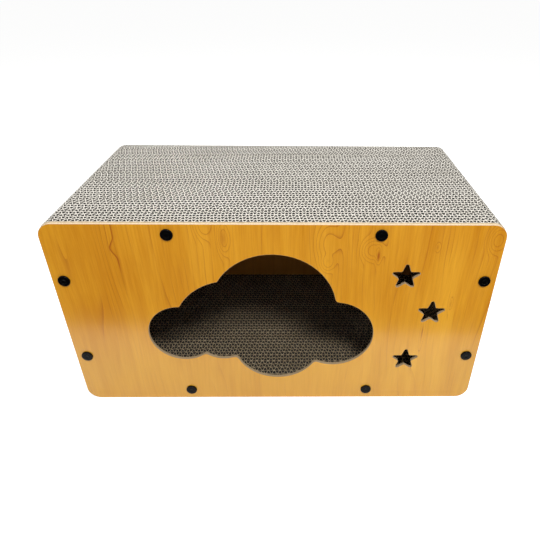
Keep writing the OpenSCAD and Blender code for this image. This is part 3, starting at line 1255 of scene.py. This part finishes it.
@dataclass(frozen=True)
class PushRivets:
    """The push rivets of both end boards: barbed sleeves with a pin driven in.

    Heights run from the seat on the board outwards, radii from the rivet's axis, both in
    millimetres.
    """

    # The sleeve's head, with a round rim and a well for the pin
    head: float = 7.6
    rim: float = 0.9
    rim_height: float = 1.3
    rim_turn: float = 85.0
    well: float = 3.7
    well_floor: float = 1.5
    lip: float = 0.35
    lip_height: float = 2.35
    chamfer: float = 0.15
    # The sleeve's legs
    bore: float = 1.7
    shank: float = 3.2
    slot_top: float = -12.0
    leg_gap: float = 0.5
    legs: int = 4
    tip: float = -32.0
    barb: float = 4.0
    barb_length: float = 3.0
    barbs: int = 4
    # The pin, with a dish in its head that is a parabola
    shaft: float = 1.6
    point: float = 0.4
    point_length: float = 3.0
    pin_head: float = 3.6
    pin_rim: float = 0.4
    pin_height: float = 2.6
    dish: float = 2.4
    dish_floor: float = 2.17
    dish_bow: float = 0.04
    dish_steps: int = 3
    # How finely they are drawn, and the angle in degrees from which an edge is sharp
    facets: int = 48
    leg_facets: int = 8
    rim_steps: int = 8
    crease: float = 38.0
    weld: float = 0.001
    sliver: float = 0.0001

    def build(self, nylon: Material) -> None:
        """Builds the sleeves and the pins that stand for each CAD node.

        Args:
            nylon: The finish.
        """
        tree = self._tree()
        models = {
            "sleeves": new_object("sleeve", self._sleeve()),
            "pins": new_object("pin", self._pin()),
        }
        for end, facing in (("front", -1), ("rear", 1)):
            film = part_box(f"{end}_outer_film")
            seat = film[0].y if facing < 0 else film[1].y
            for slab in ("top", "floor", "left", "right"):
                for kind, model in models.items():
                    node = f"{end}_{slab}_{kind}"
                    piece = new_object(f"{node}_moulded", self._seats(node, slab, seat))
                    grow(piece, tree, {"Model": model, "Facing": facing, "Nylon": nylon})
                    self._smooth(piece.data)
                    settle(piece, Slot.BLACK_NYLON, node)
        for model in models.values():
            bpy.data.objects.remove(model)

    @staticmethod
    def _seats(node: str, slab: str, seat: float) -> Mesh:
        """Finds the two rivets of a CAD node.

        Args:
            node: The CAD node.
            slab: The slab that the rivets hold.
            seat: Where the board's outer face lies along Y.

        Returns:
            A mesh of one point at each seat.
        """
        low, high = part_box(node)
        x, _, z = (low + high) / 2
        if slab in ("top", "floor"):
            radius = (high.z - low.z) / 2
            places = [(low.x + radius, seat, z), (high.x - radius, seat, z)]
        else:
            radius = (high.x - low.x) / 2
            places = [(x, seat, low.z + radius), (x, seat, high.z - radius)]
        return points_mesh(node, places)

    @staticmethod
    def _tree() -> Tree:
        """Builds the tree that stands one model on each seat, facing outwards.

        Returns:
            The tree.
        """
        inputs = {"Model": "Object", "Facing": "Float", "Nylon": "Material"}
        tree, given = new_tree("rivets on seats", inputs)
        model = add(tree, "GeometryNodeObjectInfo", {"Object": given["Model"]}, "Geometry")
        lean = add(tree, MATH, {0: given["Facing"], 1: -math.pi / 2}, operation="MULTIPLY")
        turn = add(tree, JOIN, {0: lean})
        rivets = add(
            tree,
            "GeometryNodeInstanceOnPoints",
            {"Points": given["Geometry"], "Instance": model, "Rotation": turn},
        )
        end_tree(tree, rivets, given["Nylon"])
        return tree

    def _sleeve(self) -> Mesh:
        """Makes a sleeve: a flat head with a round rim and a well, on four barbed legs.

        Returns:
            The mesh, with its head up and its seat at the origin.
        """
        rim = self._bend(
            self.head - self.rim, self.rim_height, self.rim, 0, self.rim_turn, self.rim_steps
        )
        head = [
            (self.bore, self.slot_top), (self.shank, self.slot_top), (self.shank, 0.0),
            (self.head, 0.0), *rim,
            (self.well + self.lip, self.lip_height), (self.well + self.chamfer, self.lip_height),
            (self.well, self.lip_height - self.chamfer), (self.well, self.well_floor),
            (self.bore, self.well_floor),
        ]
        leg = [(self.bore, self.tip), (self.shank, self.tip)]
        for i in range(1, self.barbs + 1):
            top = self.tip + i * self.barb_length
            leg += [(self.barb, top), (self.shank, top)]
        leg += [(self.shank, self.slot_top), (self.bore, self.slot_top)]
        shape = bmesh.new()
        self._sweep(shape, head, 0.0, math.tau, self.facets)
        gap = math.asin(self.leg_gap / self.shank)
        share = math.tau / self.legs
        for i in range(self.legs):
            self._sweep(shape, leg, i * share + gap, (i + 1) * share - gap, self.leg_facets)
        return self._finished(shape, "sleeve")

    def _pin(self) -> Mesh:
        """Makes a pin: a dished head with a rounded rim on a pointed shaft.

        Returns:
            The mesh, as it sits in a sleeve.
        """
        radii = [self.dish * i / self.dish_steps for i in range(self.dish_steps, -1, -1)]
        dish = [(r, self.dish_floor + self.dish_bow * r * r) for r in radii]
        rim = self._bend(
            self.pin_head - self.pin_rim, self.pin_height - self.pin_rim, self.pin_rim, 0, 90
        )
        outline = [
            (0.0, self.tip), (self.point, self.tip), (self.shaft, self.tip + self.point_length),
            (self.shaft, self.well_floor), (self.pin_head - self.chamfer, self.well_floor),
            (self.pin_head, self.well_floor + self.chamfer), *rim, *dish,
        ]
        shape = bmesh.new()
        self._sweep(shape, outline, 0.0, math.tau, self.facets)
        return self._finished(shape, "pin")

    @staticmethod
    def _bend(
        out: float, up: float, radius: float, start: float, end: float, steps: int = 6
    ) -> Profile:
        """Lists the points of a round stretch in an outline.

        Args:
            out: The centre's distance from the axis.
            up: The centre's height.
            radius: The radius.
            start: First angle in degrees, 0 pointing away from the axis and 90 up.
            end: Last angle.
            steps: Number of steps between them.

        Returns:
            The points.
        """
        turns = [math.radians(start + (end - start) * i / steps) for i in range(steps + 1)]
        return [(out + radius * math.cos(t), up + radius * math.sin(t)) for t in turns]

    @staticmethod
    def _sweep(
        shape: bmesh.types.BMesh, outline: Profile, start: float, end: float, steps: int
    ) -> None:
        """Sweeps a closed outline of radius and height around the axis.

        Args:
            shape: The mesh that gets the faces.
            outline: The outline, anticlockwise.
            start: First angle.
            end: Last angle, a full turn on for a whole ring.
            steps: Number of steps between them.
        """
        whole = math.isclose(end - start, math.tau)
        count = steps if whole else steps + 1
        rings = []
        for i in range(count):
            turn = start + (end - start) * i / steps
            across, back = math.cos(turn) * MM, math.sin(turn) * MM
            rings.append([shape.verts.new((r * across, r * back, z * MM)) for r, z in outline])
        for i in range(steps):
            here, there = rings[i], rings[(i + 1) % count]
            for j in range(len(outline)):
                k = (j + 1) % len(outline)
                shape.faces.new((here[j], there[j], there[k], here[k]))
        if not whole:
            shape.faces.new(reversed(rings[0]))
            shape.faces.new(rings[-1])

    def _finished(self, shape: bmesh.types.BMesh, name: str) -> Mesh:
        """Closes a swept shape's poles and turns its faces outwards.

        Args:
            shape: The shape, which is freed.
            name: The mesh's name.

        Returns:
            The mesh.
        """
        bmesh.ops.remove_doubles(shape, verts=shape.verts, dist=self.weld * MM)
        bmesh.ops.dissolve_degenerate(shape, edges=shape.edges, dist=self.sliver * MM)
        bmesh.ops.recalc_face_normals(shape, faces=shape.faces)
        mesh = bpy.data.meshes.new(name)
        shape.to_mesh(mesh)
        shape.free()
        return mesh

    def _smooth(self, mesh: Mesh) -> None:
        """Shades a mesh smooth, apart from its sharp edges."""
        mesh.polygons.foreach_set("use_smooth", [True] * len(mesh.polygons))
        mesh.set_sharp_from_angle(angle=math.radians(self.crease))


@dataclass(frozen=True)
class Camera:
    """The photograph's camera, solved from the condo's outline.

    The focal length and the middle of the picture are in pixels of a square picture.
    """

    place: Place = (29.14, -671.04, 537.59)
    pitch: float = 0.57681
    yaw: float = 0.02106
    roll: float = 0.01257
    focal: float = 487.536
    middle: tuple[float, float] = (307.511, 284.990)
    picture: float = 540.0
    sensor: float = 36.0
    nearest: float = 10.0
    farthest: float = 100000.0

    def build(self) -> None:
        """Makes the camera and looks through it."""
        flat = Vector((math.sin(self.yaw), math.cos(self.yaw), 0.0))
        ahead = flat * math.cos(self.pitch) - Vector((0, 0, math.sin(self.pitch)))
        right = Vector((math.cos(self.yaw), -math.sin(self.yaw), 0.0))
        up = right.cross(ahead)
        c, s = math.cos(self.roll), math.sin(self.roll)
        right, up = c * right + s * up, c * up - s * right
        data = bpy.data.cameras.new("camera")
        data.sensor_width = self.sensor
        data.lens = self.focal * self.sensor / self.picture
        data.shift_x = (self.picture / 2 - self.middle[0]) / self.picture
        data.shift_y = (self.middle[1] - self.picture / 2) / self.picture
        data.clip_start = self.nearest * MM
        data.clip_end = self.farthest * MM
        camera = bpy.data.objects.new("camera", data)
        bpy.context.scene.collection.objects.link(camera)
        turn = Matrix((right, up, -ahead)).transposed().to_4x4()
        camera.matrix_world = Matrix.Translation(Vector(self.place) * MM) @ turn
        bpy.context.scene.camera = camera


@dataclass(frozen=True)
class Lamp:
    """A white, square, soft lamp, in millimetres and watts."""

    name: str
    place: Place
    size: float
    watts: float


@dataclass(frozen=True)
class Studio:
    """White floor, white surroundings and soft lamps, in millimetres.

    The lift brings the lit floor up to white for the eye. The fill is the light that comes from
    the surroundings.
    """

    floor: float = 40000.0
    floor_colour: str = "#F4F4F3"
    lift: float = 0.71
    fill: float = 0.29
    lamps: tuple[Lamp, ...] = (
        Lamp("overhead", (-150, 250, 1500), 900, 10),
        Lamp("key", (300, -1050, 1440), 360, 16.4),
    )
    aim: Place = (0, 0, 120)
    # The flag lies 1 mm over the floor, and its near edge runs aslant to the condo's front
    flag_height: float = 1.0
    flag_reach: float = 6000.0
    flag_half_width: float = 3000.0
    flag_near_left: float = 270.0
    flag_near_right: float = 42.0

    def build(self) -> None:
        """Makes the floor, the flag, the surroundings and the lamps."""
        bpy.context.scene.view_settings.view_transform = "Standard"
        self._lay_floor()
        self._lay_flag()
        self._surround()
        for lamp in self.lamps:
            self._hang(lamp)

    @staticmethod
    def _sheet(name: str, corners: list[Place], material: Material) -> Object:
        """Makes a flat sheet.

        Args:
            name: The sheet's name.
            corners: Its four corners, in metres.
            material: Its finish.

        Returns:
            The sheet.
        """
        mesh = bpy.data.meshes.new(name)
        mesh.from_pydata(corners, [], [(0, 1, 2, 3)])
        mesh.materials.append(material)
        return new_object(name, mesh)

    def _lay_floor(self) -> None:
        """Lays the floor, which shows white where nothing shades it."""
        material, tree = new_material("white paper sweep")
        paper = add(tree, "ShaderNodeBsdfDiffuse", {"Color": linear(self.floor_colour)})
        strength = add(tree, MATH, {0: self._seen(tree), 1: self.lift}, operation="MULTIPLY")
        glow = add(tree, "ShaderNodeEmission", {"Strength": strength})
        surface = add(tree, "ShaderNodeAddShader", {0: paper, 1: glow})
        add(tree, OUTPUT, {"Surface": surface})
        half = self.floor / 2 * MM
        corners = [(-half, -half, 0), (half, -half, 0), (half, half, 0), (-half, half, 0)]
        self._sheet("floor", corners, material)

    def _lay_flag(self) -> None:
        """Lays a black flag before the condo, so that only the floor near it is mirrored."""
        material, tree = new_material("black flock")
        surface = add(tree, "ShaderNodeBsdfDiffuse", {"Color": BLACK})
        add(tree, OUTPUT, {"Surface": surface})
        front = CAD_BOX[0][1]
        half, up = self.flag_half_width * MM, self.flag_height * MM
        far = front - self.flag_reach * MM
        left, right = (front - n * MM for n in (self.flag_near_left, self.flag_near_right))
        corners = [(-half, far, up), (half, far, up), (half, right, up), (-half, left, up)]
        flag = self._sheet("flag", corners, material)
        flag.visible_camera = False
        flag.visible_diffuse = False
        flag.visible_transmission = False
        flag.visible_shadow = False

    def _surround(self) -> None:
        """Sets the world: white to the eye and in reflections, softer as light."""
        world = bpy.data.worlds.new("white surroundings")
        world.use_nodes = True
        tree = world.node_tree
        tree.nodes.clear()
        strength = add(tree, RANGE, {"Value": self._seen(tree), "To Min": self.fill})
        light = add(tree, "ShaderNodeBackground", {"Color": WHITE, "Strength": strength})
        add(tree, "ShaderNodeOutputWorld", {"Surface": light})
        bpy.context.scene.world = world

    @staticmethod
    def _seen(tree: Tree) -> Socket:
        """Gives 1 for rays that show a surface to the eye, straight or by reflection.

        Args:
            tree: The tree that asks.

        Returns:
            1 for such rays, and 0 for light.
        """
        rays = add(tree, "ShaderNodeLightPath").node.outputs
        seen = rays["Is Camera Ray"]
        for other in ("Is Glossy Ray", "Is Transmission Ray"):
            seen = add(tree, MATH, {0: seen, 1: rays[other]}, operation="MAXIMUM")
        return seen

    def _hang(self, lamp: Lamp) -> None:
        """Hangs one lamp, pointing at the condo.

        Args:
            lamp: The lamp.
        """
        data = bpy.data.lights.new(lamp.name, "AREA")
        data.size = lamp.size * MM
        data.energy = lamp.watts
        light = bpy.data.objects.new(lamp.name, data)
        bpy.context.scene.collection.objects.link(light)
        place = Vector(lamp.place) * MM
        aim = (Vector(self.aim) * MM - place).to_track_quat("-Z", "Y").to_matrix().to_4x4()
        light.matrix_world = Matrix.Translation(place) @ aim


FRONT_KNOTS = (
    Knot(-62, 266, 8, 24, 3.2, 0.3),
    Knot(-86, 284, 12, 20, 2.4),
    Knot(64, 258, 16, 30, 3.0),
    Knot(64, 230, 10, 12, 2.0),
    Knot(127, 242, 4, 16, 1.6, 0.75),
    Knot(118, 250, 14, 16, 3.0),
    Knot(268, 264, 12, 18, 3.0),
    Knot(198, 254, 3, 7, 1.2, 0.3),
    Knot(197, 120, 3, 34, 1.4, 0.3),
    Knot(228, 170, 3, 14, 1.2, 0.3),
)
REAR_KNOTS = (Knot(-90, 190, 10, 40, 3.0, 0.4),)
# Corner radius of the roof and floor slabs, which follow the end boards' outline
ROUND_CORNER = 18.0


def main() -> None:
    """Builds the condo piece by piece, and the studio around it."""
    logging.basicConfig(level=logging.INFO, format="%(message)s")
    Camera().build()
    Studio().build()
    low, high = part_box("front_board")
    core = FibreboardCore(high.x - low.x, high.z - low.z).material()
    front = EndBoard(
        "front",
        WoodFilm("wood-print film, front", 19.0, FRONT_KNOTS, (Seam(-191.0),)),
        WoodFilm("wood-print film, front inside", 11.0),
    )
    rear = EndBoard(
        "rear",
        WoodFilm("wood-print film, rear", 23.0, REAR_KNOTS, (Seam(120.0),)),
        # The rear inside film is painted redder, as painted light of the reddish bounces in the
        # cabin
        WoodFilm("wood-print film, rear inside", 37.0, deep="#A84E2C", light="#D08656"),
    )
    for board in (front, rear):
        board.dress(core)
    rows = CorrugatedRows().tree()
    paper = KraftPaper().material()
    for slab in (
        CorrugatedSlab(Side.ROOF, ROUND_CORNER, seed=3),
        CorrugatedSlab(Side.FLOOR, ROUND_CORNER, seed=14, plies=FLOOR_PLIES),
        CorrugatedSlab(Side.LEFT, 0.0, seed=25),
        CorrugatedSlab(Side.RIGHT, 0.0, seed=36),
    ):
        slab.build(rows, paper)
    PushRivets().build(BlackNylon().material())


if __name__ == "__main__":
    main()
